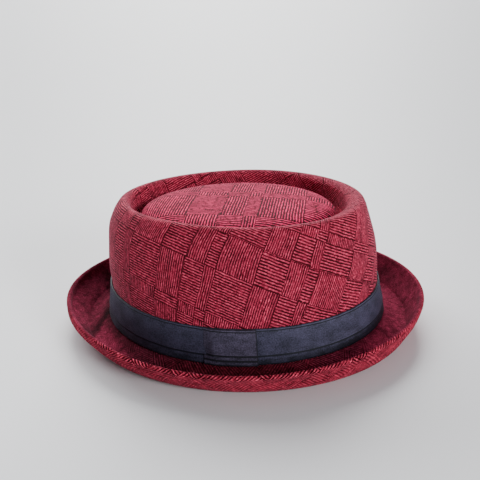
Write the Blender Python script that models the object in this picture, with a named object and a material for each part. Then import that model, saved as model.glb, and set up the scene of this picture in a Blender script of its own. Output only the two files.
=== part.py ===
"""Pork pie hat: telescoped crown, upturned stub brim, cloth band and its lap.

Metres, +Z up.  The hat stands on the floor (z = 0) on the flat sole of its
brim, front towards -Y, the wearer's left towards +X.  All tables and sizes
below are in millimetres and are scaled by MM when the meshes are made.
"""
import math
from collections import namedtuple

import bpy
import bmesh
from mathutils import Vector

MM = 0.001
SEGMENTS = 56              # points round each ring
CLOTH = 2.2                # crown wall: cloth with its stiffening
BRIM_THICK = 3.0           # two plies with stiffening between
GAP = 0.3                  # clearance between neighbouring pieces
SET_BACK = 0.9             # moves every ring along +Y, so that the brim's box is centred

# ---------------------------------------------------------------- tables --
# A ring is an oval seen from above: half length along Y, half width along X,
# and a shift of its middle along Y (minus is forward).  egg widens its back
# and narrows its front, point narrows both.
Ring = namedtuple("Ring", "name height half_length shift half_width egg point")

# outer face of the crown's side wall, foot to shoulder
WALL = [
    Ring("foot",      8.0, 101.2,  0.0, 85.2, 0.00, 0.0),
    Ring("band_low", 18.0,  99.0, -0.5, 84.4, 0.00, 0.0),
    Ring("band_top", 33.0,  96.9, -1.2, 82.9, 0.01, 0.0),
    Ring("lower",    45.0,  97.0, -2.2, 80.2, 0.02, 0.0),
    Ring("middle",   60.0,  95.5, -2.8, 76.0, 0.04, 0.0),
    Ring("upper",    75.0,  92.5, -4.1, 70.5, 0.06, 0.0),
    Ring("shoulder", 84.0,  89.2, -3.7, 67.5, 0.075, 0.0),
]
WALL_STEPS = 9             # facets between foot and shoulder

# rolled rim on top of the wall: centre line of the roll
RIM = Ring("rim", 87.4, 82.7, -3.0, 61.8, 0.085, 0.0)
RIM_ROLL = 4.2             # radius of the roll's outer face
RIM_BACK = 4.0             # the roll's inner side reaches further in by this much at the back
RIM_FROM, RIM_TO, RIM_STEPS = 30.0, 180.0, 6     # degrees of the roll, from the wall over the top

# telescope crease between the rim and the raised tip
TIP_EDGE = Ring("tip_edge", 78.6, 69.4, -4.9, 53.0, 0.05, 0.0)   # widest ring of the tip
CREASE_DEPTH = 4.0         # below the tip's widest ring
CREASE_STEPS = 4

# raised tip: a cushion with a tight shoulder and a gently crowned top
TIP_SHOULDER = 8.8         # rise of the shoulder over the widest ring
TIP_CROWN = 2.8            # further rise to the middle
TIP_SCALES = (0.985, 0.95, 0.89, 0.79, 0.62, 0.42, 0.21)

# middle of the brim's thickness, from the throat outwards to the lip
# lift raises front and back over the sides, tilt raises the back over the front
BrimRow = namedtuple("BrimRow", "name height half_length shift half_width egg point lift tilt")
BRIM = [
    BrimRow("throat",    6.2,  99.6,  0.0,  83.6, 0.0,  0.00, 0.0,  0.0),
    BrimRow("junction",  5.7, 104.0,  0.2,  88.0, 0.0,  0.00, 0.0,  0.0),
    BrimRow("slope",     3.0, 110.0,  0.6,  93.6, 0.0,  0.00, 0.0,  0.0),
    BrimRow("sole_in",   1.5, 114.6,  0.9,  97.8, 0.0,  0.00, 0.0,  0.0),
    BrimRow("sole_out",  1.5, 118.4,  0.9, 101.4, 0.0,  0.00, 0.0,  0.0),
    BrimRow("turn",      4.3, 121.2,  0.2, 105.0, 0.0,  0.00, 1.2,  0.1),
    BrimRow("wall",     12.0, 128.4, -1.6, 109.4, 0.0, -0.02, 3.4,  0.0),
    BrimRow("lip",      17.3, 129.0, -0.9, 112.8, 0.0, -0.03, 3.4,  1.0),
]
LIP_STEPS = 4              # facets round the lip's half-round edge

# cloth band round the foot of the crown: each row is a corner of its section
BandRow = namedtuple("BandRow", "name height proud")
BAND = [
    BandRow("bottom",      8.4, 1.10),
    BandRow("pleat_foot", 15.4, 1.10),
    BandRow("pleat_edge", 15.4, 1.50),
    BandRow("face",       24.0, 1.40),
    BandRow("top",        33.0, 1.05),
]
# lap where the band's ends are joined, on the wearer's left
LAP_FRONT, LAP_BACK = -26.5, 6.5     # its two edges along Y, before SET_BACK
LAP = [
    BandRow("bottom",        8.4, 0.90),
    BandRow("pleat_2_foot", 12.8, 0.90),
    BandRow("pleat_2_edge", 12.8, 1.25),
    BandRow("pleat_1_foot", 16.3, 1.15),
    BandRow("pleat_1_edge", 16.3, 1.50),
    BandRow("face",         24.0, 1.35),
    BandRow("top",          33.3, 0.90),
]
LAP_CLEAR = 2.1            # its inner face lies this far off the crown, GAP off the band
LAP_STEPS = 8

COLOURS = {
    "crown":    (0.270, 0.022, 0.034),
    "brim":     (0.250, 0.020, 0.032),
    "band":     (0.020, 0.022, 0.036),
    "band_tab": (0.026, 0.023, 0.036),
}
ROUGHNESS = 0.92


# -------------------------------------------------------------- geometry --
def plan(ring, t, out=0.0):
    """Point of an oval at angle t (0 is the back), moved out along its normal."""
    a, b = ring.half_width, ring.half_length
    s, c = math.sin(t), math.cos(t)
    g = 1 + ring.egg * c + ring.point * c * c
    x, y = a * s * g, ring.shift + b * c
    dx, dy = a * c * g - a * s * s * (ring.egg + 2 * ring.point * c), -b * s
    n = math.hypot(dx, dy)
    return x - out * dy / n, y + out * dx / n


def plan_normal(ring, t):
    x0, y0 = plan(ring, t)
    x1, y1 = plan(ring, t, 1.0)
    return x1 - x0, y1 - y0


def hermite(rows, value):
    """Smooth curve through the table's rows: every column at one height."""
    keys = [r.height for r in rows]
    i = max(0, min(len(rows) - 2, sum(k <= value for k in keys) - 1))
    h = keys[i + 1] - keys[i]
    u = (value - keys[i]) / h
    result = {}
    for field in rows[0]._fields[2:]:
        v = [getattr(r, field) for r in rows]

        def slope(j):
            lo, hi = max(j - 1, 0), min(j + 1, len(rows) - 1)
            return (v[hi] - v[lo]) / (keys[hi] - keys[lo])

        result[field] = (v[i] * (1 + 2 * u) * (1 - u) ** 2 + slope(i) * h * u * (1 - u) ** 2
                         + v[i + 1] * u * u * (3 - 2 * u) + slope(i + 1) * h * u * u * (u - 1))
    return result


def wall_ring(height):
    return Ring(name="wall", height=height, **hermite(WALL, height))


def crown_section(t):
    """Outer face of the crown at angle t: foot, wall, rim roll, crease, tip."""
    points = []
    foot, top = WALL[0].height, WALL[-1].height
    back = RIM_BACK * max(0.0, math.cos(t)) ** 2
    for i in range(WALL_STEPS + 1):
        ring = wall_ring(foot + (top - foot) * i / WALL_STEPS)
        points.append(plan(ring, t) + (ring.height,))
    for i in range(RIM_STEPS + 1):
        a = math.radians(RIM_FROM + (RIM_TO - RIM_FROM) * i / RIM_STEPS)
        x, y = plan(RIM, t, RIM_ROLL * math.cos(a) + back * min(0.0, math.cos(a)))
        points.append((x, y, RIM.height + RIM_ROLL * math.sin(a)))
    outer = plan(RIM, t, -RIM_ROLL - back)           # inner face of the rim
    inner = plan(TIP_EDGE, t)                        # face of the tip
    for i in range(CREASE_STEPS + 1):
        a = math.pi * i / CREASE_STEPS
        w = 0.5 + 0.5 * math.cos(a)                  # 1 on the rim's side, 0 on the tip's
        points.append((inner[0] + (outer[0] - inner[0]) * w,
                       inner[1] + (outer[1] - inner[1]) * w,
                       TIP_EDGE.height - CREASE_DEPTH * math.sin(a)))
    for s in TIP_SCALES:
        rise = TIP_SHOULDER * math.sqrt(1 - s ** 9) + TIP_CROWN * (1 - s * s)
        points.append((inner[0] * s, TIP_EDGE.shift + (inner[1] - TIP_EDGE.shift) * s,
                       TIP_EDGE.height + rise))
    return points


def tip_middle():
    return (0.0, TIP_EDGE.shift, TIP_EDGE.height + TIP_SHOULDER + TIP_CROWN)


def brim_section(t):
    """Closed outline of the brim at angle t: under face, lip, upper face."""
    half = BRIM_THICK / 2
    line = [(plan(row, t), row.height + row.lift * math.cos(t) ** 2 + row.tilt * math.cos(t))
            for row in BRIM]
    x0, y0 = line[0][0]
    nx, ny = plan_normal(BRIM[3], t)
    run = [((x - x0) * nx + (y - y0) * ny, z) for (x, y), z in line]
    under, over = [], []
    for i, ((x, y), z) in enumerate(line):
        (r0, z0), (r1, z1) = run[max(i - 1, 0)], run[min(i + 1, len(run) - 1)]
        n = math.hypot(r1 - r0, z1 - z0)
        dr, dz = (r1 - r0) / n, (z1 - z0) / n
        if BRIM[i].name in ("sole_in", "sole_out"):
            dr, dz = 1.0, 0.0                        # the sole is flat on the floor
        under.append((x + dz * half * nx, y + dz * half * ny, z - dr * half))
        over.append((x - dz * half * nx, y - dz * half * ny, z + dr * half))
    (x, y), z = line[-1]
    lip = []
    for i in range(1, LIP_STEPS):
        c, s = math.cos(math.pi * i / LIP_STEPS), math.sin(math.pi * i / LIP_STEPS)
        out = half * (dz * c + dr * s)
        lip.append((x + out * nx, y + out * ny, z + half * (dz * s - dr * c)))
    return under + lip + over[::-1]


def strip_section(t, rows, clear):
    """Closed outline of a cloth strip that lies on the crown's wall."""
    outer = [plan(wall_ring(r.height), t, clear + r.proud) + (r.height,) for r in rows]
    inner = [plan(wall_ring(h), t, clear) + (h,) for h in sorted({r.height for r in rows})]
    return outer + inner[::-1]


# ---------------------------------------------------------------- meshes --
def to_object(name, bm):
    bmesh.ops.recalc_face_normals(bm, faces=bm.faces[:])
    mesh = bpy.data.meshes.new(name)
    bm.to_mesh(mesh)
    bm.free()
    mesh.shade_smooth()
    mesh.set_sharp_from_angle(angle=math.radians(50))
    material = bpy.data.materials.new(name)
    material.use_nodes = True
    shader = material.node_tree.nodes["Principled BSDF"]
    shader.inputs["Base Color"].default_value = COLOURS[name] + (1.0,)
    shader.inputs["Roughness"].default_value = ROUGHNESS
    shader.inputs["Metallic"].default_value = 0.0
    mesh.materials.append(material)
    obj = bpy.data.objects.new(name, mesh)
    bpy.context.scene.collection.objects.link(obj)
    return obj


def vert(bm, point):
    return bm.verts.new(Vector((point[0], point[1] + SET_BACK, point[2])) * MM)


def skin(bm, rings, closed_section=False, closed_round=True):
    """Quads between neighbouring sections; each entry of rings is one section."""
    count, length = len(rings), len(rings[0])
    for i in range(count if closed_round else count - 1):
        a, b = rings[i], rings[(i + 1) % count]
        for j in range(length if closed_section else length - 1):
            k = (j + 1) % length
            bm.faces.new((a[j], b[j], b[k], a[k]))


def angles():
    return [2 * math.pi * i / SEGMENTS for i in range(SEGMENTS)]


def offset_inward(sections, distance):
    """The same grid of points moved inwards along the surface's normal."""
    count = len(sections)
    moved = []
    for i, section in enumerate(sections):
        before, after = sections[i - 1], sections[(i + 1) % count]
        column = []
        for j, point in enumerate(section):
            around = Vector(after[j]) - Vector(before[j])
            up = Vector(section[min(j + 1, len(section) - 1)]) - Vector(section[max(j - 1, 0)])
            inward = around.cross(up).normalized()
            column.append(tuple(Vector(point) + inward * distance))
        moved.append(column)
    return moved


def make_crown():
    outer = [crown_section(t) for t in angles()]
    inner = offset_inward(outer, CLOTH)
    foot = WALL[0].height
    for column in inner:
        column[0] = (column[0][0], column[0][1], foot)
    bm = bmesh.new()
    outer_v = [[vert(bm, p) for p in column] for column in outer]
    inner_v = [[vert(bm, p) for p in column] for column in inner]
    skin(bm, outer_v)
    skin(bm, [column[::-1] for column in inner_v])
    top = tip_middle()
    for rings, middle in ((outer_v, vert(bm, top)),
                          (inner_v, vert(bm, (top[0], top[1], top[2] - CLOTH)))):
        for i in range(SEGMENTS):
            bm.faces.new((rings[i][-1], rings[(i + 1) % SEGMENTS][-1], middle))
    for i in range(SEGMENTS):
        k = (i + 1) % SEGMENTS
        bm.faces.new((outer_v[i][0], inner_v[i][0], inner_v[k][0], outer_v[k][0]))
    return to_object("crown", bm)


def make_brim():
    bm = bmesh.new()
    rings = [[vert(bm, p) for p in brim_section(t)] for t in angles()]
    skin(bm, rings, closed_section=True)
    return to_object("brim", bm)


def make_band():
    bm = bmesh.new()
    rings = [[vert(bm, p) for p in strip_section(t, BAND, GAP)] for t in angles()]
    skin(bm, rings, closed_section=True)
    return to_object("band", bm)


def make_lap():
    ring = wall_ring(20.0)
    start, end = (math.acos((y - ring.shift) / ring.half_length) for y in (LAP_FRONT, LAP_BACK))
    bm = bmesh.new()
    rings = []
    for i in range(LAP_STEPS + 1):
        t = start + (end - start) * i / LAP_STEPS
        rings.append([vert(bm, p) for p in strip_section(t, LAP, LAP_CLEAR)])
    skin(bm, rings, closed_section=True, closed_round=False)
    for cap in (rings[0], rings[-1]):
        bm.faces.new(cap)
    return to_object("band_tab", bm)


def build():
    for obj in list(bpy.data.objects):
        bpy.data.objects.remove(obj, do_unlink=True)
    make_crown()
    make_brim()
    make_band()
    make_lap()


build()
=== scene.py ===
"""Looks of the pork pie hat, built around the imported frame.

Metres, +Z up.  Front of the hat towards -Y, the wearer's left towards +X.
The tables repeat the CAD part's own, in millimetres; every mesh here is the
same surface made finer, with the cloth's pattern laid over it.
"""

import math
from collections import namedtuple

import bpy
import bmesh
import numpy as np
from mathutils import Matrix, Vector


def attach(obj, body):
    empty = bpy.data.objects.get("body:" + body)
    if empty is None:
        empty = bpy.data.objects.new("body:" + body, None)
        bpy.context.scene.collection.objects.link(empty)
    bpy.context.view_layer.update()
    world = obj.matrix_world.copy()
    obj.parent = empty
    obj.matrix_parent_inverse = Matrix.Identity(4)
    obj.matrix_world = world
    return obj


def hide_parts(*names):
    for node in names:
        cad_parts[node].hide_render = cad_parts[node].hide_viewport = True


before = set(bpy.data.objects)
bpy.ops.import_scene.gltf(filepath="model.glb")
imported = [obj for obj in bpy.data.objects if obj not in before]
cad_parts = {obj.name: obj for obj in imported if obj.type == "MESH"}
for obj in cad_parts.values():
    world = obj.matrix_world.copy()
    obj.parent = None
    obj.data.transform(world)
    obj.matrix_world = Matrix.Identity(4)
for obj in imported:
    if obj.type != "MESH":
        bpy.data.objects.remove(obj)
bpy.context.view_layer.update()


MM = 0.001
TAU = 2 * math.pi

# =============================================================== the tables ==
SET_BACK = 0.9
CLOTH = 2.2
BRIM_THICK = 3.0
GAP = 0.3
Ring = namedtuple("Ring", "height half_length shift half_width egg point")
WALL = [
    Ring(8.0, 101.2, 0.0, 85.2, 0.00, 0.0),
    Ring(18.0, 99.0, -0.5, 84.4, 0.00, 0.0),
    Ring(33.0, 96.9, -1.2, 82.9, 0.01, 0.0),
    Ring(45.0, 97.0, -2.2, 80.2, 0.02, 0.0),
    Ring(60.0, 95.5, -2.8, 76.0, 0.04, 0.0),
    Ring(75.0, 92.5, -4.1, 70.5, 0.06, 0.0),
    Ring(84.0, 89.2, -3.7, 67.5, 0.075, 0.0),
]
RIM = Ring(87.4, 82.7, -3.0, 61.8, 0.085, 0.0)
RIM_ROLL = 4.2
RIM_BACK = 4.0
RIM_FROM, RIM_TO = 30.0, 180.0
TIP_EDGE = Ring(78.6, 69.4, -4.9, 53.0, 0.05, 0.0)
CREASE_DEPTH = 4.0
TIP_SHOULDER = 8.8
TIP_CROWN = 2.8
BrimRow = namedtuple("BrimRow", "height half_length shift half_width egg point lift tilt")
BRIM = [
    BrimRow(6.2, 99.6, 0.0, 83.6, 0.0, 0.00, 0.0, 0.0),
    BrimRow(5.7, 104.0, 0.2, 88.0, 0.0, 0.00, 0.0, 0.0),
    BrimRow(3.0, 110.0, 0.6, 93.6, 0.0, 0.00, 0.0, 0.0),
    BrimRow(1.5, 114.6, 0.9, 97.8, 0.0, 0.00, 0.0, 0.0),
    BrimRow(1.5, 118.4, 0.9, 101.4, 0.0, 0.00, 0.0, 0.0),
    BrimRow(4.3, 121.2, 0.2, 105.0, 0.0, 0.00, 1.2, 0.1),
    BrimRow(12.0, 128.4, -1.6, 109.4, 0.0, -0.02, 3.4, 0.0),
    BrimRow(17.3, 129.0, -0.9, 112.8, 0.0, -0.03, 3.4, 1.0),
]
LAP_FRONT, LAP_BACK = -26.5, 6.5
LAP_CLEAR = 2.1

# How the cloth lies on the crown's wall.  s is the way round from the wearer's
# left (+ towards the back), in mm; the weave's columns and rows lean from the
# upright and the level by these degrees there.
Lie = namedtuple("Lie", "s column_lean row_lean")
LIE = [
    Lie(-430, -52.0, -46.0), Lie(-140, -13.7, -7.5), Lie(-90, -0.2, 3.6), Lie(-60, 7.9, 10.3),
    Lie(-30, 15.4, 16.7), Lie(0, 21.9, 22.2), Lie(30, 26.3, 24.4), Lie(60, 30.3, 24.9),
    Lie(90, 34.1, 25.4), Lie(150, 42.0, 26.4),
]
LIE_HEIGHT = 60.0          # the lines lean about this height

# The parquet check: four column widths and four row heights repeat, and the
# stripes change direction from each cell to the next.
COLUMNS = (7.1, 24.0, 18.1, 12.6)
ROWS = (6.9, 27.2, 21.9, 17.8)
COLUMN_START, ROW_START = -24.4, -31.8
STRIPE_U = 1.48
STRIPE_V = (1.62, 1.86)       # forward of the wearer's left, and behind it


# ================================================================= geometry ==
def plan(ring, t, out=0.0):
    a, b = ring.half_width, ring.half_length
    s, c = np.sin(t), np.cos(t)
    g = 1 + ring.egg * c + ring.point * c * c
    x, y = a * s * g, ring.shift + b * c
    dx, dy = a * c * g - a * s * s * (ring.egg + 2 * ring.point * c), -b * s
    n = np.hypot(dx, dy)
    return x - out * dy / n, y + out * dx / n


def plan_normal(ring, t):
    x0, y0 = plan(ring, t)
    x1, y1 = plan(ring, t, 1.0)
    return x1 - x0, y1 - y0


def hermite(rows, value):
    keys = [r.height for r in rows]
    i = max(0, min(len(rows) - 2, sum(k <= value for k in keys) - 1))
    h = keys[i + 1] - keys[i]
    u = (value - keys[i]) / h
    result = {}
    for field in rows[0]._fields[1:]:
        v = [getattr(r, field) for r in rows]

        def slope(j):
            lo, hi = max(j - 1, 0), min(j + 1, len(rows) - 1)
            return (v[hi] - v[lo]) / (keys[hi] - keys[lo])

        result[field] = (v[i] * (1 + 2 * u) * (1 - u) ** 2 + slope(i) * h * u * (1 - u) ** 2
                         + v[i + 1] * u * u * (3 - 2 * u) + slope(i + 1) * h * u * u * (u - 1))
    return result


def wall_ring(height):
    return Ring(height=height, **hermite(WALL, height))


def pchip(v, at):
    """Smooth curve through v at whole numbers that adds no bumps; rows of v may be arrays."""
    v = np.asarray(v, float)
    d = np.diff(v, axis=0)
    m = np.zeros_like(v)
    m[0], m[-1] = d[0], d[-1]
    both = d[:-1] * d[1:]
    total = d[:-1] + d[1:]
    m[1:-1] = np.where(both > 0, 2 * both / np.where(total == 0, 1, total), 0)
    out = []
    for x in at:
        i = min(int(x), len(v) - 2)
        u = x - i
        out.append(v[i] * (1 + 2 * u) * (1 - u) ** 2 + m[i] * u * (1 - u) ** 2
                   + v[i + 1] * u * u * (3 - 2 * u) + m[i + 1] * u * u * (u - 1))
    return np.array(out)


def hand(t, z):
    """Small unevenness of a shape pressed and handled by hand, mm outwards; none under the band."""
    grow = np.clip((z - 36) / 25, 0, 1)
    return grow * (0.35 * np.sin(2 * t + 1.1 + z * 0.02) + 0.22 * np.sin(3 * t + 2.6 - z * 0.03)
                   + 0.12 * np.sin(7 * t + z * 0.05))


def seam(t, z):
    """The wall's centre back seam, drawn in a little, mm outwards."""
    from_seam = 88.0 * np.abs(np.angle(np.exp(1j * t)))
    fade = np.clip((z - 30) / 6, 0, 1) * np.clip((92 - z) / 4, 0, 1)
    return fade * (0.28 * np.exp(-((from_seam - 2.6) / 1.3) ** 2) - 0.42 * np.exp(-(from_seam / 0.8) ** 2))


def sag(t):
    """Small rise and fall of the rolled rim, mm."""
    far = np.clip(-np.sin(t), 0, 1) ** 2             # the wearer's right stands a little higher
    return (0.30 * np.sin(2 * t + 0.4) + 0.22 * np.sin(3 * t + 2.0) + 0.10 * np.sin(6 * t + 1.0)) * (1 - far) + 1.0 * far


def crown_surface(t):
    """Outer face at the angles t: columns of points from the foot over the rim to the tip, and zones."""
    rows = []
    foot, top = 8.0, 84.0
    back = RIM_BACK * np.maximum(0.0, np.cos(t)) ** 2
    for i in range(65):
        ring = wall_ring(foot + (top - foot) * i / 64)
        x, y = plan(ring, t, hand(t, ring.height) + seam(t, ring.height))
        rows.append((x, y, np.full_like(t, ring.height) + sag(t) * max(0.0, (ring.height - 60) / 30)))
    for i in range(1, 4):                            # joins the wall and the roll smoothly
        w = i / 4
        a = math.radians(RIM_FROM)
        x0, y0 = rows[64][0], rows[64][1]
        x1, y1 = plan(RIM, t, RIM_ROLL * math.cos(a) + hand(t, 88.0) * 0.5)
        z1 = RIM.height + RIM_ROLL * math.sin(a)
        belly = 0.18 * math.sin(math.pi * w)
        nx, ny = plan_normal(RIM, t)
        rows.append((x0 + (x1 - x0) * w + nx * belly, y0 + (y1 - y0) * w + ny * belly,
                     np.full_like(t, 84 + (z1 - 84) * w) + sag(t)))
    for i in range(25):
        a = math.radians(RIM_FROM + (RIM_TO - RIM_FROM) * i / 24)
        z = RIM.height + RIM_ROLL * math.sin(a)
        x, y = plan(RIM, t, RIM_ROLL * math.cos(a) + back * min(0.0, math.cos(a))
                    + (hand(t, 88.0) * 0.5 + seam(t, z)) * max(0.0, math.cos(a)))
        rows.append((x, y, RIM.height + RIM_ROLL * math.sin(a) + sag(t)))
    outer, inner = plan(RIM, t, -RIM_ROLL - back), plan(TIP_EDGE, t)
    z_rim, z_tip = RIM.height + sag(t), TIP_EDGE.height
    for i in range(1, 5):
        w = i / 5
        rows.append((outer[0], outer[1], z_rim + (z_tip - z_rim) * w))
    for i in range(17):
        a = math.pi * i / 16
        w = 0.5 + 0.5 * math.cos(a)
        rows.append((inner[0] + (outer[0] - inner[0]) * w, inner[1] + (outer[1] - inner[1]) * w,
                     z_tip - CREASE_DEPTH * math.sin(a) + 0 * t))
    crease_end = len(rows)
    for k in range(1, 41):
        s = 1 - (k / 40.5) ** 1.6
        rise = TIP_SHOULDER * math.sqrt(1 - s ** 9) + TIP_CROWN * (1 - s * s)
        rows.append((inner[0] * s, TIP_EDGE.shift + (inner[1] - TIP_EDGE.shift) * s,
                     TIP_EDGE.height + rise + 0 * t))
    p = np.array([[r[0], r[1], r[2] + 0 * t] for r in rows])      # rows, 3, round
    return p.transpose(2, 0, 1), crease_end                        # round, rows, 3


def lean(s):
    st = [r.s for r in LIE]
    return (np.radians(np.interp(s, st, [r.column_lean for r in LIE])),
            np.radians(np.interp(s, st, [r.row_lean for r in LIE])))


_S = np.arange(-460, 181, 0.5)
_c, _r = lean(_S)
_U = np.concatenate([[0], np.cumsum((np.cos(_c)[1:] + np.cos(_c)[:-1]) / 4)])
_V = np.concatenate([[0], np.cumsum((np.sin(_r)[1:] + np.sin(_r)[:-1]) / 4)])
_U -= np.interp(0, _S, _U)
_V -= np.interp(0, _S, _V)


def cloth_on_wall(s, h):
    c, r = lean(s)
    return (np.interp(s, _S, _U) - (h - LIE_HEIGHT) * np.sin(c),
            np.interp(s, _S, _V) + (h - LIE_HEIGHT) * np.cos(r))


def round_length(t):
    """Way round at mid height, from the wearer's left, + towards the back."""
    fine = np.linspace(0, TAU, 7201)
    x, y = plan(wall_ring(50.0), fine)
    d = np.concatenate([[0], np.cumsum(np.hypot(np.diff(x), np.diff(y)))])
    return np.interp(math.pi / 2, fine, d) - np.interp(t, fine, d)


# =================================================================== meshes ==
def grid_mesh(name, points, uv, closed_round=True, closed_section=False, flip=False, extra=()):
    """Quads over a grid (round, section); uv has one more round column where the grid closes."""
    n, m = points.shape[:2]
    co = points.reshape(-1, 3).copy()
    co[:, 1] += SET_BACK
    co *= MM
    a = np.arange(n if closed_round else n - 1)
    b = np.arange(m if closed_section else m - 1)
    A, B = np.meshgrid(a, b, indexing="ij")
    A, B = A.ravel(), B.ravel()
    A1, B1 = A + 1, B + 1
    quads = np.stack([A * m + B, (A1 % n) * m + B, (A1 % n) * m + (B1 % m), A * m + (B1 % m)], 1)
    uvq = np.stack([np.stack([A, B], 1), np.stack([A1, B], 1), np.stack([A1, B1], 1), np.stack([A, B1], 1)], 1)
    if flip:
        quads, uvq = quads[:, ::-1], uvq[:, ::-1]
    mesh = bpy.data.meshes.new(name)
    mesh.vertices.add(len(co))
    mesh.vertices.foreach_set("co", co.astype(np.float32).ravel())
    mesh.loops.add(quads.size)
    mesh.loops.foreach_set("vertex_index", quads.astype(np.int32).ravel())
    mesh.polygons.add(len(quads))
    mesh.polygons.foreach_set("loop_start", np.arange(0, quads.size, 4, dtype=np.int32))
    mesh.update(calc_edges=True)
    layer = mesh.uv_layers.new(name="cloth")
    w = uv[uvq[..., 0].ravel(), uvq[..., 1].ravel()]
    layer.uv.foreach_set("vector", w.astype(np.float32).ravel())
    for title, values in extra:
        second = mesh.uv_layers.new(name=title)
        w = values[uvq[..., 0].ravel(), uvq[..., 1].ravel()]
        second.uv.foreach_set("vector", w.astype(np.float32).ravel())
    mesh.shade_smooth()
    mesh.validate()
    obj = bpy.data.objects.new(name, mesh)
    bpy.context.scene.collection.objects.link(obj)
    return obj


def finish_mesh(obj):
    bm = bmesh.new()
    bm.from_mesh(obj.data)
    bmesh.ops.remove_doubles(bm, verts=bm.verts[:], dist=1e-7)
    bmesh.ops.recalc_face_normals(bm, faces=bm.faces[:])
    bm.to_mesh(obj.data)
    bm.free()
    obj.data.shade_smooth()


def offset(points, distance):
    around = np.roll(points, -1, 0) - np.roll(points, 1, 0)
    up = np.empty_like(points)
    up[:, 1:-1] = points[:, 2:] - points[:, :-2]
    up[:, 0] = points[:, 1] - points[:, 0]
    up[:, -1] = points[:, -1] - points[:, -2]
    n = np.cross(around, up)
    n /= np.maximum(np.linalg.norm(n, axis=2, keepdims=True), 1e-9)
    return points + n * distance


def offset_closed(points, distance):
    """The same for a grid that closes both ways, such as the brim's; positive is inwards."""
    around = np.roll(points, -1, 0) - np.roll(points, 1, 0)
    along = np.roll(points, -1, 1) - np.roll(points, 1, 1)
    n = np.cross(around, along)
    n /= np.maximum(np.linalg.norm(n, axis=2, keepdims=True), 1e-9)
    return points + n * distance


def crown_piece():
    # even steps, with finer ones each side of the seam at the back
    fine = np.array([0.0022, 0.0044, 0.0068, 0.0094, 0.0124, 0.0158, 0.0196, 0.0240, 0.0290, 0.0350, 0.0420, 0.0500])
    t = np.concatenate([[0.0], fine, np.linspace(0.0620, TAU - 0.0620, 343), TAU - fine[::-1]])
    count = len(t)
    outer, crease_end = crown_surface(t)
    m = outer.shape[1]
    tt = np.append(t, TAU)
    full = np.concatenate([outer, outer[:1]], 0)
    # cloth coordinates
    s = round_length(tt)[:, None] + np.zeros((1, m))
    run = np.concatenate([np.zeros((count + 1, 1)),
                          np.cumsum(np.linalg.norm(np.diff(full, axis=1), axis=2), axis=1)], 1)
    h = np.where(full[..., 2] * 0 + np.arange(m)[None] <= 64, full[..., 2], 84 + run - run[:, 64:65])
    u, v = cloth_on_wall(s, h)
    uv = np.stack([u, v], 2)
    k = crease_end - 8                               # the tip's own cloth starts in the crease
    x, y = full[..., 0], full[..., 1]
    lean_tip = math.radians(8)
    tu = (y * math.cos(lean_tip) + x * math.sin(lean_tip)) / 1.27
    tv = (x * math.cos(lean_tip) - y * math.sin(lean_tip)) / 1.33
    # places the narrow column and row where the tip shows them
    tu += TIP_U
    tv += TIP_V
    body = grid_mesh("crown_shell", outer[:, :k + 1], uv[:, :k + 1])
    tip_uv = np.stack([tu, tv], 2)[:, k:]
    top = grid_mesh("crown_tip", outer[:, k:], tip_uv)
    bm = bmesh.new()
    bm.from_mesh(body.data)
    body_faces = len(bm.faces)
    bm.from_mesh(top.data)
    bpy.data.objects.remove(top, do_unlink=True)
    bm.faces.ensure_lookup_table()
    bm.verts.ensure_lookup_table()
    layer = bm.loops.layers.uv["cloth"]
    # close the middle of the tip
    edge = [v for v in bm.verts if len(v.link_faces) and v.co.z > 0.0899 and v.is_boundary]
    mid = bm.verts.new((0, (TIP_EDGE.shift + SET_BACK) * MM, (TIP_EDGE.height + TIP_SHOULDER + TIP_CROWN) * MM))
    ring = [e for e in bm.edges if e.is_boundary and e.verts[0].co.z > 0.0899 and e.verts[1].co.z > 0.0899]
    for e in ring:
        f = bm.faces.new((e.verts[0], e.verts[1], mid))
        f.smooth = True
        for loop in f.loops:
            px, py = loop.vert.co.x / MM, loop.vert.co.y / MM - SET_BACK
            loop[layer].uv = ((py * math.cos(lean_tip) + px * math.sin(lean_tip)) / 1.27 + TIP_U,
                              (px * math.cos(lean_tip) - py * math.sin(lean_tip)) / 1.33 + TIP_V)
    bmesh.ops.remove_doubles(bm, verts=bm.verts[:], dist=1e-6)
    bm.to_mesh(body.data)
    bm.free()
    return body, outer, t


def crown_inside(outer):
    coarse = outer[::2]
    inner = offset(coarse, CLOTH)
    inner[:, 0, 2] = 8.0
    keep = list(range(0, 64, 4)) + list(range(64, inner.shape[1], 2))
    if keep[-1] != inner.shape[1] - 1:
        keep.append(inner.shape[1] - 1)
    middle = (coarse[:, :1] + inner[:, :1]) / 2
    middle[..., 2] -= 0.25                           # the cut edge's slight swell
    return np.concatenate([coarse[:, :1], middle, inner[:, keep]], 1)




def cap_mesh(obj, z_low):
    """Closes the inner skin's top with a fan."""
    bm = bmesh.new()
    bm.from_mesh(obj.data)
    ring = [e for e in bm.edges if e.is_boundary and e.verts[0].co.z > z_low and e.verts[1].co.z > z_low]
    mid = bm.verts.new((0, (TIP_EDGE.shift + SET_BACK) * MM,
                        (TIP_EDGE.height + TIP_SHOULDER + TIP_CROWN - CLOTH) * MM))
    for e in ring:
        f = bm.faces.new((e.verts[0], e.verts[1], mid))
        f.smooth = True
    bm.to_mesh(obj.data)
    bm.free()


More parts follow.
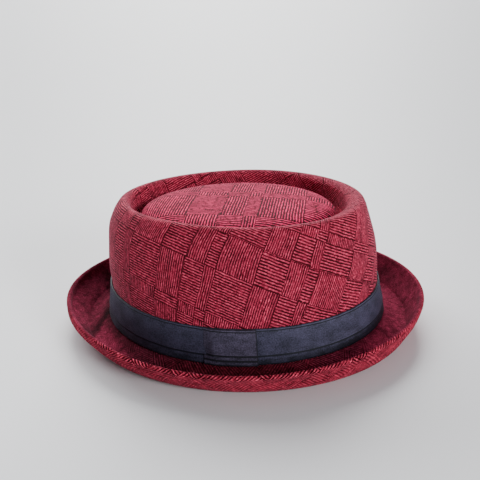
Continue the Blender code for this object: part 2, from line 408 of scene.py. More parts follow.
def brim_section(t, fine=8):
    """Closed outline of the brim at the angles t, (round, section, 3), and the way along it."""
    half = BRIM_THICK / 2
    px, py, pz = [], [], []
    for row in BRIM:
        x, y = plan(row, t)
        px.append(x)
        py.append(y)
        pz.append(row.height + row.lift * np.cos(t) ** 2 + row.tilt * np.cos(t))
    at = np.linspace(0, len(BRIM) - 1, (len(BRIM) - 1) * fine + 1)
    x, y, z = pchip(px, at), pchip(py, at), pchip(pz, at)
    nx, ny = plan_normal(BRIM[3], t)
    r = (x - x[0]) * nx + (y - y[0]) * ny
    dr, dz = np.gradient(r, axis=0), np.gradient(z, axis=0)
    n = np.hypot(dr, dz)
    dr, dz = dr / n, dz / n
    under = np.stack([x + dz * half * nx, y + dz * half * ny, z - dr * half], 2)
    over = np.stack([x - dz * half * nx, y - dz * half * ny, z + dr * half], 2)
    lip = []
    for i in range(1, 12):
        c, s = math.cos(math.pi * i / 12), math.sin(math.pi * i / 12)
        out = half * (dz[-1] * c + dr[-1] * s)
        lip.append(np.stack([x[-1] + out * nx, y[-1] + out * ny, z[-1] + half * (dz[-1] * s - dr[-1] * c)], 1))
    rows = np.concatenate([under, np.array(lip), over[::-1]], 0)
    return rows.transpose(1, 0, 2), (nx, ny)


def brim_piece():
    # even steps, with finer ones each side of the join at the back
    fine = np.array([0.0020, 0.0040, 0.0062, 0.0088, 0.0118, 0.0154, 0.0200, 0.0260, 0.0340])
    t = np.concatenate([[0.0], fine, np.linspace(0.0450, TAU - 0.0450, 395), TAU - fine[::-1]])
    count = len(t)
    pts, (nx, ny) = brim_section(t)
    pts[..., 2] = np.maximum(pts[..., 2], 0.0)
    m = pts.shape[1]
    # the turned-up edge bellies a little to the front and draws in beside it
    reach = np.hypot(pts[..., 0] - pts[:, :1, 0], pts[..., 1] - pts[:, :1, 1])
    reach = np.clip((reach - 20) / 12, 0, 1)
    reach = reach * reach * (3 - 2 * reach)
    belly = (1.5 * np.exp(-((t - 3.22) / 0.30) ** 2) - 0.9 * np.exp(-((t - 2.42) / 0.26) ** 2)
             + 0.35 * np.sin(3 * t + 0.6) * 0.5)
    pts[..., 0] += nx[:, None] * belly[:, None] * reach
    pts[..., 1] += ny[:, None] * belly[:, None] * reach
    # way round along the lip, from the wearer's left, + towards the back
    turn = np.linspace(0, TAU, 7201)
    lx, ly = plan(BRIM[-1], turn)
    length = np.concatenate([[0], np.cumsum(np.hypot(np.diff(lx), np.diff(ly)))])
    side = float(np.interp(math.pi / 2, turn, length))
    # the join at the centre back: a shallow groove with a slightly raised edge each side
    apart = np.minimum(np.interp(t, turn, length), length[-1] - np.interp(t, turn, length))
    join = -0.14 * np.exp(-(apart / 0.50) ** 2) + 0.04 * np.exp(-((apart - 1.5) / 0.7) ** 2)
    pts = pts - (offset_closed(pts, 1.0) - pts) * join[:, None, None]
    pts[..., 2] = np.maximum(pts[..., 2], 0.0)
    step = np.linalg.norm(np.diff(pts, axis=1), axis=2)
    run = np.concatenate([np.zeros((count, 1)), np.cumsum(step, axis=1)], 1)
    half = run[:, -1:] / 2
    flat = np.where(run < half, run, 2 * half - run)          # distance out from the throat, both faces
    # the cloth goes on over the lip and down to the sole, and turns back there
    past = np.maximum(half - run, 0.0)
    way = np.where(run < half, np.where(past < 19.0, past, 38.0 - past), flat - half)
    way = np.concatenate([way, way[:1]], 0)
    way = np.concatenate([way, way[:, :1]], 1)
    along = side - np.interp(np.append(t, TAU), turn, length)[:, None]
    # the weave crosses the brim at 45 degrees; on the lip a broad column and a broad row start
    # at the distances forward of the wearer's left that the lip shows there
    a = math.sqrt(0.5)
    u = ((along + 27.5) + way) * a / 1.2 + COLUMN_START + COLUMNS[0]
    v = ((along + 32.2) - way) * a / 1.1 + ROW_START + ROWS[0]
    uv = np.stack([u, v], 2)
    # how far out of the brim's width, and which face
    place = np.stack([np.clip(flat / half, 0, 1), np.where(run < half, 0.0, 1.0) + 0 * flat], 2)
    place = np.concatenate([place, place[:1]], 0)
    place = np.concatenate([place, place[:, :1]], 1)
    # nearness to the front or back end, and from the front (0) to the back (1)
    end = np.clip((np.abs(np.cos(t)) - 0.55) / 0.33, 0, 1)
    end = end * end * (3 - 2 * end)
    ends = np.stack([end[:, None] + 0 * flat, 0.5 + 0.5 * np.cos(t)[:, None] + 0 * flat], 2)
    ends = np.concatenate([ends, ends[:1]], 0)
    ends = np.concatenate([ends, ends[:, :1]], 1)
    obj = grid_mesh("brim_cloth", pts, uv, closed_section=True, extra=(("place", place), ("ends", ends)))
    finish_mesh(obj)
    return obj


def rounded(corners, radius=0.3, steps=4):
    """Section with each corner rounded; corners are (out, up)."""
    out = []
    n = len(corners)
    for i in range(n):
        p0, p1, p2 = (np.array(corners[j % n], float) for j in (i - 1, i, i + 1))
        a, b = p0 - p1, p2 - p1
        la, lb = np.linalg.norm(a), np.linalg.norm(b)
        r = min(radius, la * 0.45, lb * 0.45)
        q0, q2 = p1 + a / la * r, p1 + b / lb * r
        for k in range(steps + 1):
            w = k / steps
            out.append((1 - w) ** 2 * q0 + 2 * w * (1 - w) * p1 + w * w * q2)
    return np.array(out)


def strip_piece(name, corners, clear, t0, t1, count, closed_round, wobble):
    """Cloth strip on the crown's wall.  corners: (proud, height) round its section."""
    sec = rounded(corners, 0.28)
    # finer along the long faces
    fine = []
    for i in range(len(sec)):
        p, q = sec[i], sec[(i + 1) % len(sec)]
        k = max(1, int(np.linalg.norm(q - p) / 0.9))
        for j in range(k):
            fine.append(p + (q - p) * j / k)
    sec = np.array(fine)
    t = np.linspace(t0, t1, count, endpoint=not closed_round)
    pts = np.zeros((count, len(sec), 3))
    for j, (proud, height) in enumerate(sec):
        ring = wall_ring(height)
        x, y = plan(ring, t, clear + proud + wobble(t, proud, height))
        lift = 0.0
        pts[:, j] = np.stack([x, y, np.full_like(t, height) + lift], 1)
    s = round_length(np.append(t, TAU) if closed_round else t)
    uv = np.zeros((len(s), len(sec) + 1, 2))
    uv[..., 0] = s[:, None]
    uv[..., 1] = np.append(sec[:, 1], sec[0, 1])[None, :]
    obj = grid_mesh(name, pts, uv, closed_round=closed_round, closed_section=True)
    if not closed_round:
        bm = bmesh.new()
        bm.from_mesh(obj.data)
        bm.verts.ensure_lookup_table()
        k = len(sec)
        for first in (0, (count - 1) * k):
            bm.faces.new([bm.verts[first + j] for j in range(k)])
        bm.to_mesh(obj.data)
        bm.free()
    finish_mesh(obj)
    return obj


# ================================================================ materials ==
class Nodes:
    """Small helper for building node trees."""

    def __init__(self, name):
        self.material = bpy.data.materials.new(name)
        self.material.use_nodes = True
        self.tree = self.material.node_tree
        self.shader = self.tree.nodes["Principled BSDF"]

    def put(self, socket, value):
        if isinstance(value, bpy.types.NodeSocket):
            self.tree.links.new(value, socket)
        else:
            socket.default_value = value

    def math(self, op, a, b=None, c=None, clamp=False):
        n = self.tree.nodes.new("ShaderNodeMath")
        n.operation = op
        n.use_clamp = clamp
        for i, v in enumerate((a, b, c)):
            if v is not None:
                self.put(n.inputs[i], v)
        return n.outputs[0]

    def ramp(self, value, low, high, a=0.0, b=1.0, smooth=True):
        n = self.tree.nodes.new("ShaderNodeMapRange")
        n.interpolation_type = "SMOOTHSTEP" if smooth else "LINEAR"
        for i, v in enumerate((value, low, high, a, b)):
            self.put(n.inputs[i], v)
        return n.outputs[0]

    def mix(self, factor, a, b):
        n = self.tree.nodes.new("ShaderNodeMix")
        n.data_type = "RGBA"
        self.put(n.inputs[0], factor)
        self.put(n.inputs[6], a)
        self.put(n.inputs[7], b)
        return n.outputs[2]

    def blend(self, factor, a, b):
        n = self.tree.nodes.new("ShaderNodeMix")
        n.data_type = "FLOAT"
        self.put(n.inputs[0], factor)
        self.put(n.inputs[2], a)
        self.put(n.inputs[3], b)
        return n.outputs[0]

    def noise(self, vector, scale, detail=2.0, rough=0.5, distortion=0.0):
        n = self.tree.nodes.new("ShaderNodeTexNoise")
        self.put(n.inputs["Vector"], vector)
        self.put(n.inputs["Scale"], scale)
        self.put(n.inputs["Detail"], detail)
        self.put(n.inputs["Roughness"], rough)
        self.put(n.inputs["Distortion"], distortion)
        return n.outputs["Fac"]

    def stretch(self, vector, x, y, z=1.0):
        n = self.tree.nodes.new("ShaderNodeVectorMath")
        n.operation = "MULTIPLY"
        self.put(n.inputs[0], vector)
        n.inputs[1].default_value = (x, y, z)
        return n.outputs[0]

    def vector(self, x, y, z=0.0):
        n = self.tree.nodes.new("ShaderNodeCombineXYZ")
        for i, v in enumerate((x, y, z)):
            self.put(n.inputs[i], v)
        return n.outputs[0]

    def cloth(self, layer="cloth"):
        n = self.tree.nodes.new("ShaderNodeUVMap")
        n.uv_map = layer
        split = self.tree.nodes.new("ShaderNodeSeparateXYZ")
        self.tree.links.new(n.outputs[0], split.inputs[0])
        return n.outputs[0], split.outputs[0], split.outputs[1]

    def bump(self, height, strength, distance, normal=None):
        n = self.tree.nodes.new("ShaderNodeBump")
        n.inputs["Strength"].default_value = strength
        n.inputs["Distance"].default_value = distance
        self.put(n.inputs["Height"], height)
        if normal is not None:
            self.put(n.inputs["Normal"], normal)
        return n.outputs[0]


def bands(k, value, widths, start):
    """Index (0..3) and distance to the nearest edge, in a repeat of the given widths."""
    period = sum(widths)
    inside = k.math("WRAP", k.math("SUBTRACT", value, start), period, 0.0)
    edges = [0.0]
    for w in widths:
        edges.append(edges[-1] + w)
    index = None
    near = None
    for i, e in enumerate(edges):
        d = k.math("ABSOLUTE", k.math("SUBTRACT", inside, e))
        near = d if near is None else k.math("MINIMUM", near, d)
        if 0 < i < len(edges) - 1:
            over = k.math("GREATER_THAN", inside, e)
            index = over if index is None else k.math("ADD", index, over)
    return index, near, inside


def parquet(name, flip=0.0, bright=(0.84, 0.086, 0.165), dark=(0.046, 0.0012, 0.0042),
            body=(0.315, 0.0175, 0.046), crisp=1.34, soft=1.15, lines=0.60, sheen=0.42, gloss=0.12, brim=False):
    """Cloth in stripes that turn from cell to cell.  crisp and soft are the contrast of the level
    and the upright cells, lines that of the dark edges between them."""
    k = Nodes(name)
    uv, u0, v0 = k.cloth()
    # the weave wanders a little
    shake = k.math("MULTIPLY", k.math("SUBTRACT", k.noise(k.stretch(uv, 0.10, 0.10), 1.0, 2.0), 0.5), 1.0)
    shake2 = k.math("MULTIPLY", k.math("SUBTRACT", k.noise(k.stretch(uv, 0.12, 0.12), 1.7, 2.0), 0.5), 1.0)
    quiver = k.math("MULTIPLY", k.math("SUBTRACT", k.noise(k.stretch(uv, 0.55, 0.55), 1.0, 1.0), 0.5), 0.35)
    u = k.math("ADD", k.math("ADD", u0, shake), quiver)
    v = k.math("ADD", k.math("ADD", v0, shake2), quiver)
    iu, near_u, in_u = bands(k, u, COLUMNS, COLUMN_START)
    iv, near_v, in_v = bands(k, v, ROWS, ROW_START)
    upright = k.math("MODULO", k.math("ADD", k.math("ADD", iu, iv), flip), 2.0)
    # level stripes lie closer on the forward half of the wall
    tight = k.math("GREATER_THAN", u, 6.5)
    along_u = k.math("DIVIDE", u, STRIPE_U)
    along_v = k.math("DIVIDE", v, k.blend(tight, STRIPE_V[0], STRIPE_V[1]))
    across = k.blend(upright, along_v, along_u)
    along = k.blend(upright, u, v)
    # each yarn is brighter and darker in short runs along itself
    yarn = k.math("ROUND", across)
    run = k.noise(k.vector(k.math("MULTIPLY", yarn, 5.37), k.math("MULTIPLY", along, 0.42),
                           k.math("MULTIPLY", upright, 9.1)), 1.0, 2.0, 0.7)
    width = k.noise(k.vector(k.math("MULTIPLY", yarn, 3.11), k.math("MULTIPLY", along, 0.30), 4.0), 1.0, 1.0)
    wave = k.math("COSINE", k.math("MULTIPLY", across, TAU))
    wave = k.math("ADD", wave, k.math("MULTIPLY", k.math("SUBTRACT", width, 0.5), 1.5))
    stripe = k.ramp(wave, -0.62, 0.72)
    # in places the ground between two yarns closes up
    ground = k.math("FLOOR", across)
    closed = k.noise(k.vector(k.math("MULTIPLY", ground, 4.19), k.math("MULTIPLY", along, 0.30),
                              k.math("ADD", k.math("MULTIPLY", upright, 2.7), 11.0)), 1.0, 2.0, 0.6)
    stripe = k.math("MAXIMUM", stripe, k.ramp(closed, 0.46, 0.74, 0.0, 0.62))
    fibre = k.noise(k.stretch(uv, 2.9, 2.9), 1.0, 3.0, 0.7)
    fleck = k.noise(k.stretch(uv, 1.05, 1.05), 1.0, 2.0, 0.6)
    worn = k.noise(k.stretch(uv, 0.085, 0.085), 1.3, 3.0, 0.6)
    near = k.math("MINIMUM", near_u, near_v)
    outline = k.ramp(k.math("ADD", near, k.math("MULTIPLY", k.math("SUBTRACT", fleck, 0.5), 0.35)), 0.06, 0.40, 1.0, 0.0)
    # 0 is the ground between yarns, 1 the brightest flecks on them
    spark = k.noise(k.vector(k.math("MULTIPLY", yarn, 7.73), k.math("MULTIPLY", along, 0.62),
                             k.math("MULTIPLY", upright, 3.3)), 1.0, 1.0)
    yarns = k.math("ADD", k.ramp(run, 0.28, 0.72, 0.36, 0.98, smooth=False),
                   k.math("MULTIPLY", k.math("SUBTRACT", fibre, 0.5), 0.80))
    yarns = k.math("ADD", yarns, k.ramp(spark, 0.56, 0.78, 0.0, 0.75))
    level = k.math("MULTIPLY", stripe, yarns)
    level = k.math("ADD", level, k.math("MULTIPLY", k.math("SUBTRACT", fleck, 0.5), 0.42))
    keep = k.blend(upright, crisp, soft)
    keep = k.math("MULTIPLY", keep, k.ramp(worn, 0.35, 0.65, 1.1, 0.62))
    if brim:
        _, out, top = k.cloth("place")
        _, end, back = k.cloth("ends")
        at_lip = k.blend(top, k.ramp(out, 0.930, 0.985), k.ramp(out, k.blend(end, 0.87, 0.925), k.blend(end, 0.97, 0.99)))
        # the stripes are worn away at the brim's two ends
        inside = k.blend(top, 0.42, k.ramp(end, 0.0, 0.8, 0.56, 0.06, smooth=False))
        worn_lip = k.ramp(end, k.ramp(back, 0.4, 0.6, 0.30, 0.45), k.ramp(back, 0.4, 0.6, 0.85, 1.10), 1.10, 0.20, smooth=False)
        keep = k.math("MULTIPLY", keep, k.blend(at_lip, inside, worn_lip))
    middle = 0.47
    level = k.math("ADD", k.math("MULTIPLY", k.math("SUBTRACT", level, middle), keep), middle)
    grain = k.math("MULTIPLY", k.math("SUBTRACT", fibre, 0.5), 0.30)
    level = k.math("ADD", level, grain)
    edge = k.math("MULTIPLY", outline, lines if not brim else k.math("MULTIPLY", k.ramp(end, 0.2, 0.9, 1.0, 0.2), k.ramp(at_lip, 0, 1, lines * 0.2, lines * 0.8, smooth=False)))
    level = k.math("SUBTRACT", level, edge, clamp=True)
    low = k.mix(k.ramp(level, 0.0, 0.5, smooth=False), dark + (1,), body + (1,))
    colour = k.mix(k.ramp(level, 0.40, 1.0, smooth=False), low, bright + (1,))
    tone = k.ramp(worn, 0.3, 0.7, 0.86, 1.12, smooth=False)
    # a few yarns side by side are darker over a long stretch
    streak = k.noise(k.vector(k.math("MULTIPLY", across, 0.42), k.math("MULTIPLY", along, 0.055),
                              k.math("MULTIPLY", upright, 5.7)), 1.0, 2.0, 0.6)
    tone = k.math("MULTIPLY", tone, k.blend(upright, k.ramp(streak, 0.30, 0.70, 0.88, 1.12, smooth=False),
                                            k.ramp(streak, 0.30, 0.70, 0.70, 1.26, smooth=False)))
    if brim:
        speckle = k.noise(k.stretch(uv, 1.25, 1.25), 1.0, 2.0, 0.6)
        tone = k.math("MULTIPLY", tone, k.blend(top, k.ramp(speckle, 0.3, 0.7, 0.84, 1.16, smooth=False),
                                                k.ramp(speckle, 0.35, 0.65, 0.60, 1.48, smooth=False)))
        # painted shade: the inside of the brim darker away from the lip
        tone = k.math("MULTIPLY", tone, k.blend(top, 1.0, k.ramp(out, k.blend(end, 0.86, 0.93), k.blend(end, 0.95, 0.985), 0.66, 1.0)))
        aside = k.ramp(k.math("ABSOLUTE", k.math("SUBTRACT", back, 0.5)), 0.12, 0.34)
        round_way = k.math("SQRT", back)
        flank = k.ramp(round_way, 0.26, 0.44)
        # painted shade in the gutter beside the band, deep at the front, turning to painted light towards the back
        painted_brim_shading = k.ramp(out, k.blend(flank, 0.09, k.blend(aside, 0.42, 0.20)),
                        k.blend(flank, 0.25, k.blend(aside, 0.66, 0.48)),
                        k.math("MULTIPLY", k.ramp(back, 0.30, 0.95, 0.38, 0.72), k.ramp(back, 0.58, 0.74, 1.0, 1.95)), 1.0)
        # painted shade along the fold where the raised front end meets the flatter side, a painted lit strip behind
        # it, and painted shade over the raised front end
        fold = k.math("SUBTRACT", round_way, k.ramp(out, 0.05, 0.50, 0.085, 0.215, smooth=False))
        fold = k.math("ADD", fold, k.math("MULTIPLY", k.math("SUBTRACT", k.noise(k.stretch(uv, 0.16, 0.16), 1.0, 2.0), 0.5), 0.05))
        painted_fold_shade = k.math("MULTIPLY", k.ramp(fold, -0.070, -0.010), k.ramp(fold, 0.0, 0.050, 1.0, 0.0))
        painted_fold_shade = k.math("MULTIPLY", painted_fold_shade, k.ramp(out, 0.55, 0.92, 0.74, 0.0))
        lit = k.math("MULTIPLY", k.ramp(fold, 0.0, 0.05), k.ramp(round_way, 0.26, 0.42, 1.0, 0.0))
        painted_brim_shading = k.math("MULTIPLY", painted_brim_shading, k.math("SUBTRACT", 1.0, painted_fold_shade))
        painted_brim_shading = k.math("MULTIPLY", painted_brim_shading, k.ramp(lit, 0.0, 1.0, 1.0, 1.06, smooth=False))
        painted_brim_shading = k.math("MULTIPLY", painted_brim_shading, k.ramp(fold, -0.03, 0.02, 0.80, 1.0))
        # towards the back a painted lit patch, and a painted shadow streak beyond it
        painted_light_patch = k.math("MULTIPLY", k.ramp(k.math("ABSOLUTE", k.math("SUBTRACT", back, 0.885)), 0.0, 0.065, 1.0, 0.0),
                       k.ramp(k.math("ABSOLUTE", k.math("SUBTRACT", out, 0.30)), 0.08, 0.24, 1.0, 0.0))
        painted_brim_shading = k.math("MULTIPLY", painted_brim_shading, k.ramp(painted_light_patch, 0.0, 1.0, 1.0, 1.50, smooth=False))
        painted_shadow_streak = k.math("MULTIPLY", k.ramp(k.math("ABSOLUTE", k.math("SUBTRACT", back, 0.955)), 0.01, 0.050, 1.0, 0.0),
                      k.ramp(k.math("ABSOLUTE", k.math("SUBTRACT", out, 0.60)), 0.03, 0.17, 1.0, 0.0))
        painted_brim_shading = k.math("MULTIPLY", painted_brim_shading, k.ramp(painted_shadow_streak, 0.0, 1.0, 1.0, 0.62, smooth=False))
        # painted shade: the inside darker towards the front end and at the very back, the underside a touch darker
        tone = k.math("MULTIPLY", tone, k.blend(top, 0.96, k.math("MULTIPLY", painted_brim_shading, k.math("MULTIPLY", k.ramp(back, 0.0, 1.0, 0.84, 0.96, smooth=False), k.ramp(back, 0.90, 0.98, 1.0, 0.84)))))
        patchy = k.noise(k.stretch(uv, 0.22, 0.22), 1.0, 4.0, 0.65)
        tone = k.math("MULTIPLY", tone, k.ramp(patchy, 0.36, 0.64, 0.70, 1.30, smooth=False))
        tone = k.math("MULTIPLY", tone, k.ramp(k.noise(k.stretch(uv, 0.60, 0.60), 1.0, 2.0, 0.6), 0.34, 0.66, 0.76, 1.24, smooth=False))
    if brim:
        # the nap inside is greyer and more purple than the yarns of the lip
        nap = k.tree.nodes.new("ShaderNodeVectorMath")
        nap.operation = "MULTIPLY"
        k.put(nap.inputs[0], colour)
        nap.inputs[1].default_value = (0.92, 1.20, 1.42)
        colour = k.mix(k.math("MULTIPLY", k.math("MULTIPLY", top, k.math("SUBTRACT", 1.0, at_lip)), k.blend(aside, 0.3, 1.0)),
                       colour, nap.outputs[0])
    shade = k.tree.nodes.new("ShaderNodeVectorMath")
    shade.operation = "SCALE"
    k.put(shade.inputs[0], colour)
    k.put(shade.inputs[3], tone)
    k.put(k.shader.inputs["Base Color"], shade.outputs[0])
    k.shader.inputs["Roughness"].default_value = 0.86
    k.shader.inputs["Specular IOR Level"].default_value = gloss
    k.shader.inputs["Sheen Weight"].default_value = sheen
    k.shader.inputs["Sheen Roughness"].default_value = 0.25
    k.shader.inputs["Sheen Tint"].default_value = (1.0, 0.36, 0.50, 1.0)
    height = k.math("ADD", k.math("MULTIPLY", level, 0.9), k.math("MULTIPLY", fibre, 0.35))
    k.put(k.shader.inputs["Normal"], k.bump(height, 0.7, 0.00045))
    return k.material


def band_cloth(name, colour, tint, folds, hem, foot, edge=None):
    """Plain-woven cotton.  folds are the heights, in mm, of the pleats' edges; the cloth just below each
    is given painted shade.  hem is the height of the stitched line under the top edge."""
    k = Nodes(name)
    uv, u, v = k.cloth()
    warp = k.math("SINE", k.math("MULTIPLY", u, TAU / 0.85))
    weft = k.math("SINE", k.math("MULTIPLY", v, TAU / 0.75))
    weave = k.math("MULTIPLY", warp, weft)
    fibre = k.noise(k.stretch(uv, 1.15, 1.15), 1.0, 3.0, 0.8)
    thread = k.noise(k.stretch(uv, 0.30, 2.4), 1.0, 2.0, 0.6)
    rib = k.noise(k.stretch(uv, 2.2, 0.22), 1.0, 2.0, 0.6)
    broad = k.noise(k.stretch(uv, 0.10, 0.16), 1.0, 3.0, 0.6)
    level = k.math("ADD", k.math("MULTIPLY", weave, 0.10), k.math("MULTIPLY", k.math("SUBTRACT", fibre, 0.5), 2.3))
    level = k.math("ADD", level, k.math("MULTIPLY", k.math("SUBTRACT", thread, 0.5), 0.55))
    level = k.math("ADD", level, k.math("MULTIPLY", k.math("SUBTRACT", rib, 0.5), 0.45))
    level = k.math("ADD", level, k.ramp(broad, 0.3, 0.7, 0.30, 0.66))
    # painted shade under each fold, a lighter worn line along its edge, and the stitched line under the top
    waver = k.math("MULTIPLY", k.math("SUBTRACT", k.noise(k.stretch(uv, 0.09, 0.0), 1.0, 2.0), 0.5), 0.5)
    height = k.math("ADD", v, waver)
    for fold in folds:
        below = k.math("SUBTRACT", fold, height)
        shade = k.math("MULTIPLY", k.ramp(below, -0.15, 0.10), k.ramp(below, 0.80, 1.60, 1.0, 0.0))
        level = k.math("SUBTRACT", level, k.math("MULTIPLY", shade, 1.10))
        ply = k.math("MULTIPLY", k.ramp(below, 1.3, 1.9), k.ramp(below, 2.7, 3.5, 1.0, 0.0))
        level = k.math("ADD", level, k.math("MULTIPLY", ply, 0.20))
        worn = k.math("MULTIPLY", k.ramp(below, -0.75, -0.35), k.ramp(below, -0.15, 0.0, 1.0, 0.0))
        level = k.math("ADD", level, k.math("MULTIPLY", worn, 0.22))
    line = k.ramp(k.math("ABSOLUTE", k.math("SUBTRACT", height, hem)), 0.18, 0.50, 1.0, 0.0)
    level = k.math("SUBTRACT", level, k.math("MULTIPLY", line, 0.70))
    # painted shade along the lap's rear edge
    if edge is not None:
        level = k.math("SUBTRACT", level, k.ramp(u, edge - 0.9, edge - 0.3, 0.0, 0.6))
    # painted shade: darker towards the front, and at the very front and back
    front = float(round_length(np.array([math.pi]))[0])
    half_way = -2.0 * front
    aside = k.math("ABSOLUTE", k.math("SUBTRACT", u, front))
    level = k.math("MULTIPLY", level, k.ramp(aside, 50.0, 190.0, 0.72, 1.04))
    level = k.math("MULTIPLY", level, k.ramp(aside, 12.0, 48.0, 0.74, 1.0))
    level = k.math("MULTIPLY", level, k.ramp(aside, half_way - 62.0, half_way - 16.0, 1.0, 0.50))
    # painted shade below the fold towards the back
    low = k.math("MULTIPLY", k.ramp(height, folds[-1] + 1.0, folds[-1] - 2.5, 0.0, 0.24),
                 k.ramp(aside, half_way - 120.0, half_way - 40.0))
    level = k.math("SUBTRACT", level, low)
    rim = k.math("MULTIPLY", k.ramp(height, hem + 0.25, hem + 0.5), k.ramp(height, hem + 0.75, hem + 1.05, 1.0, 0.0))
    level = k.math("ADD", level, k.math("MULTIPLY", rim, 0.18))
    # painted shade along the top edge, over the cloth below the last fold, and at the foot
    level = k.math("SUBTRACT", level, k.ramp(height, hem + 0.9, hem + 1.3, 0.0, 0.4))
    level = k.math("SUBTRACT", level, k.ramp(height, folds[-1] - 0.2, folds[-1] - 2.2, 0.0, 0.26))
    level = k.math("SUBTRACT", level, k.ramp(v, foot + 1.2, foot, 0.0, 0.5), clamp=True)
    k.put(k.shader.inputs["Base Color"], k.mix(level, colour + (1,), tint + (1,)))
    k.shader.inputs["Roughness"].default_value = 0.62
    k.shader.inputs["Specular IOR Level"].default_value = 0.30
    k.shader.inputs["Sheen Weight"].default_value = 0.08
    k.shader.inputs["Sheen Roughness"].default_value = 0.4
    k.shader.inputs["Sheen Tint"].default_value = (0.7, 0.75, 1.0, 1.0)
    relief = k.math("ADD", k.math("MULTIPLY", weave, 0.30), k.math("MULTIPLY", fibre, 0.9))
    k.put(k.shader.inputs["Normal"], k.bump(relief, 0.6, 0.0003))
    return k.material


def backing(name):
    k = Nodes(name)
    uv, u, v = k.cloth()
    twill = k.math("SINE", k.math("MULTIPLY", k.math("ADD", k.math("MULTIPLY", u, 1.0), k.math("MULTIPLY", v, 1.7)), TAU / 1.6))
    fibre = k.noise(k.stretch(uv, 2.4, 2.4), 1.0, 3.0, 0.7)
    broad = k.noise(k.stretch(uv, 0.06, 0.06), 1.0, 3.0, 0.5)
    level = k.math("ADD", k.math("MULTIPLY", twill, 0.18), k.math("ADD", k.math("MULTIPLY", k.math("SUBTRACT", fibre, 0.5), 0.8), k.ramp(broad, 0.3, 0.7, 0.3, 0.6)), clamp=True)
    k.put(k.shader.inputs["Base Color"], k.mix(level, (0.060, 0.008, 0.014, 1), (0.150, 0.022, 0.034, 1)))
    k.shader.inputs["Roughness"].default_value = 0.92
    k.shader.inputs["Specular IOR Level"].default_value = 0.2
    height = k.math("ADD", k.math("MULTIPLY", twill, 0.3), k.math("MULTIPLY", fibre, 0.6))
    k.put(k.shader.inputs["Normal"], k.bump(height, 0.5, 0.0003))
    return k.material


# =================================================================== pieces ==
# the tip's narrow column ends 9.5 mm behind the middle, its narrow row 3 mm beyond it
TIP_U = COLUMN_START + COLUMNS[0] - (9.5 * math.cos(math.radians(8)) + 20 * math.sin(math.radians(8))) / 1.27
TIP_V = ROW_START + ROWS[0] - (-3 * math.cos(math.radians(8))) / 1.33

cloth_wall = parquet("parquet_cloth", flip=0.0)
cloth_tip = parquet("parquet_cloth_tip", flip=1.0, bright=(0.88, 0.037, 0.152), dark=(0.046, 0.0011, 0.0056),
                    body=(0.328, 0.0062, 0.037), crisp=3.1, soft=2.9, lines=0.56, sheen=0.12)
cloth_brim = parquet("parquet_cloth_brim", flip=1.0, bright=(0.82, 0.092, 0.160), dark=(0.042, 0.0016, 0.0045),
                     body=(0.300, 0.0200, 0.042), sheen=0.14, gloss=0.03, brim=True)

crown, outer_points, crown_angles = crown_piece()
for face_material in (cloth_wall, cloth_tip):
    crown.data.materials.append(face_material)
# faces inside the crease take the tip's cloth
centre = np.zeros(len(crown.data.polygons) * 3, dtype=np.float32)
crown.data.polygons.foreach_get("center", centre)
centre = centre.reshape(-1, 3) / MM
xs, ys = centre[:, 0], centre[:, 1] - SET_BACK
angle = np.arctan2(xs / TIP_EDGE.half_width, (ys - TIP_EDGE.shift) / TIP_EDGE.half_length)
ax, ay = plan(TIP_EDGE, angle)
bx, by = plan(RIM, angle, -RIM_ROLL - RIM_BACK * np.maximum(0.0, np.cos(angle)) ** 2)
mid_r = (np.hypot(ax, ay - TIP_EDGE.shift) + np.hypot(bx, by - TIP_EDGE.shift)) / 2
is_tip = (np.hypot(xs, ys - TIP_EDGE.shift) < mid_r).astype(np.int32)
crown.data.polygons.foreach_set("material_index", is_tip)

inner = crown_inside(outer_points)
n_in = inner.shape[0]
t_in = np.append(crown_angles[::2], TAU)
run_in = np.concatenate([np.zeros((n_in, 1)), np.cumsum(np.linalg.norm(np.diff(inner, axis=1), axis=2), axis=1)], 1)
uv_in = np.stack([round_length(t_in)[:, None] + 0 * np.concatenate([run_in, run_in[:1]], 0),
                  np.concatenate([run_in, run_in[:1]], 0)], 2)
inside = grid_mesh("crown_inside", inner, uv_in, flip=True)
cap_mesh(inside, 0.0878)
inside.data.materials.append(backing("cloth_reverse"))

brim = brim_piece()
brim.data.materials.append(cloth_brim)

BAND_CORNERS = [(0.0, 8.4), (1.00, 8.4), (1.16, 10.5), (1.16, 14.6), (0.92, 15.25), (0.95, 15.42), (1.72, 15.46),
                (1.74, 16.0), (1.60, 20.5), (1.42, 28.0), (1.28, 31.3), (1.08, 31.6), (1.12, 31.9), (1.14, 32.6),
                (1.00, 33.0), (0.0, 33.0)]


def band_wobble(t, proud, height):
    return (proud > 0.5) * (0.07 * np.sin(23 * t + height * 0.3) + 0.05 * np.sin(41 * t + 1.0 - height * 0.2)
                            + 0.05 * np.sin(9 * t + height * 0.15))


band = strip_piece("hat_band", BAND_CORNERS, GAP, 0.0, TAU, 420, True, band_wobble)
band.data.materials.append(band_cloth("band_cotton", (0.0038, 0.0056, 0.0130), (0.084, 0.079, 0.147),
                                      folds=(15.4,), hem=31.7, foot=8.4))

ring20 = wall_ring(20.0)
t_front = math.acos((LAP_FRONT - ring20.shift) / ring20.half_length)
t_back = math.acos((LAP_BACK - ring20.shift) / ring20.half_length)
LAP_CORNERS = [(0.0, 8.4), (0.72, 8.4), (0.86, 9.4), (0.86, 12.1), (0.66, 12.65), (0.68, 12.82), (1.30, 12.86),
               (1.32, 13.4), (1.20, 14.5), (1.12, 15.6), (0.94, 16.15), (0.96, 16.32), (1.66, 16.36), (1.66, 17.0),
               (1.48, 20.5), (1.35, 28.0), (1.15, 31.5), (0.92, 31.8), (0.96, 32.2), (0.96, 33.0), (0.86, 33.3),
               (0.0, 33.3)]


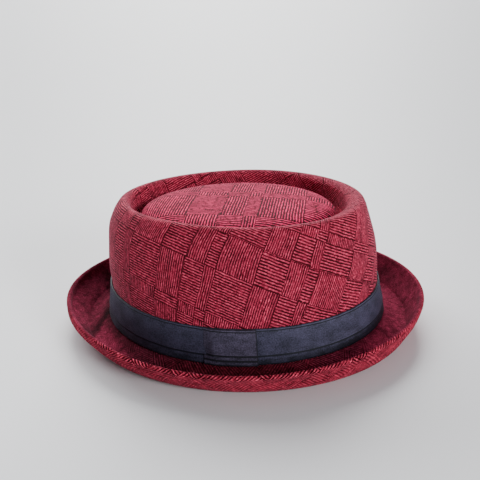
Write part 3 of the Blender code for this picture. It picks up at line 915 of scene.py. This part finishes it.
def lap_wobble(t, proud, height):
    """The forward edge lies flat on the band; the rear edge, turned under, stands proud."""
    s = round_length(t)
    front = np.clip((s - round_length(np.array([t_front]))[0]) / 7.0, 0, 1)
    down = 1 - front * front * (3 - 2 * front)
    return ((proud > 0.5) * (0.05 * np.sin(60 * t + height * 0.4) + 0.03 * np.sin(131 * t + 1.0 - height * 0.3)
                             - down * (proud - 0.14) * 0.95) - 0.42 * down)


lap = strip_piece("band_lap", LAP_CORNERS, LAP_CLEAR, t_back, t_front, 90, False, lap_wobble)
lap.data.materials.append(band_cloth("lap_cotton", (0.0045, 0.0045, 0.0100), (0.118, 0.097, 0.170),
                                     folds=(12.8, 16.3), hem=31.9, foot=8.4,
                                     edge=float(round_length(np.array([t_back]))[0])))

for piece, node in ((crown, "crown"), (inside, "crown"), (brim, "brim"), (band, "band"), (lap, "band_tab")):
    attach(piece, "root")
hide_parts("crown")
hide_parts("brim")
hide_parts("band")
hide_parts("band_tab")

# ============================================================ floor, light, camera ==
bpy.ops.mesh.primitive_plane_add(size=40, location=(0, 0, 0))
floor = bpy.context.object
floor.name = "floor"
k = Nodes("floor")
k.shader.inputs["Base Color"].default_value = (0.70, 0.71, 0.73, 1)
k.shader.inputs["Roughness"].default_value = 0.45
floor.data.materials.append(k.material)

world = bpy.data.worlds.new("studio")
bpy.context.scene.world = world
world.use_nodes = True
world.node_tree.nodes["Background"].inputs[0].default_value = (0.95, 0.96, 1.0, 1)
world.node_tree.nodes["Background"].inputs[1].default_value = 0.32


def lamp(name, azimuth, elevation, strength, softness, colour=(1, 1, 1)):
    """Soft light from far off; azimuth from +X (the camera's side) towards +Y (its right)."""
    light = bpy.data.lights.new(name, "SUN")
    light.energy = strength
    light.angle = math.radians(softness)
    light.color = colour
    obj = bpy.data.objects.new(name, light)
    bpy.context.scene.collection.objects.link(obj)
    a, e = math.radians(azimuth), math.radians(elevation)
    way = Vector((math.cos(a) * math.cos(e), math.sin(a) * math.cos(e), math.sin(e)))
    obj.rotation_euler = way.to_track_quat("Z", "Y").to_euler()
    obj.location = way
    return obj


lamp("key", 50, 22, 2.6, 22)
lamp("back", 182, 35, 4.3, 40)
lamp("left", -138, 27, 2.4, 30)

# camera, from the photo's own perspective
DIST, ELEV, FOCAL = 450.0, math.radians(24.78), 608.6
ROLL, OFF_X, OFF_Y = math.radians(-0.54), 5.75, 22.06
target = np.array([0.0, SET_BACK, 40.0])
place = target + DIST * np.array([math.cos(ELEV), 0, math.sin(ELEV)])
fw = (target - place) / DIST
rt = np.array([0.0, 1.0, 0.0])
up = np.cross(rt, fw)
a, b = math.atan2(OFF_X, FOCAL), math.atan2(OFF_Y, FOCAL)
fw2, rt2 = fw * math.cos(a) - rt * math.sin(a), rt * math.cos(a) + fw * math.sin(a)
fw3, up3 = fw2 * math.cos(b) + up * math.sin(b), up * math.cos(b) - fw2 * math.sin(b)
rt4, up4 = rt2 * math.cos(ROLL) + up3 * math.sin(ROLL), up3 * math.cos(ROLL) - rt2 * math.sin(ROLL)
camera = bpy.data.cameras.new("camera")
camera.sensor_width = 36.0
camera.lens = FOCAL / 480 * 36
camera.clip_start = 0.01
cam = bpy.data.objects.new("camera", camera)
bpy.context.scene.collection.objects.link(cam)
m = Matrix.Identity(4)
for i in range(3):
    m[i][0], m[i][1], m[i][2], m[i][3] = rt4[i], up4[i], -fw3[i], place[i] * MM
cam.matrix_world = m
bpy.context.scene.camera = cam
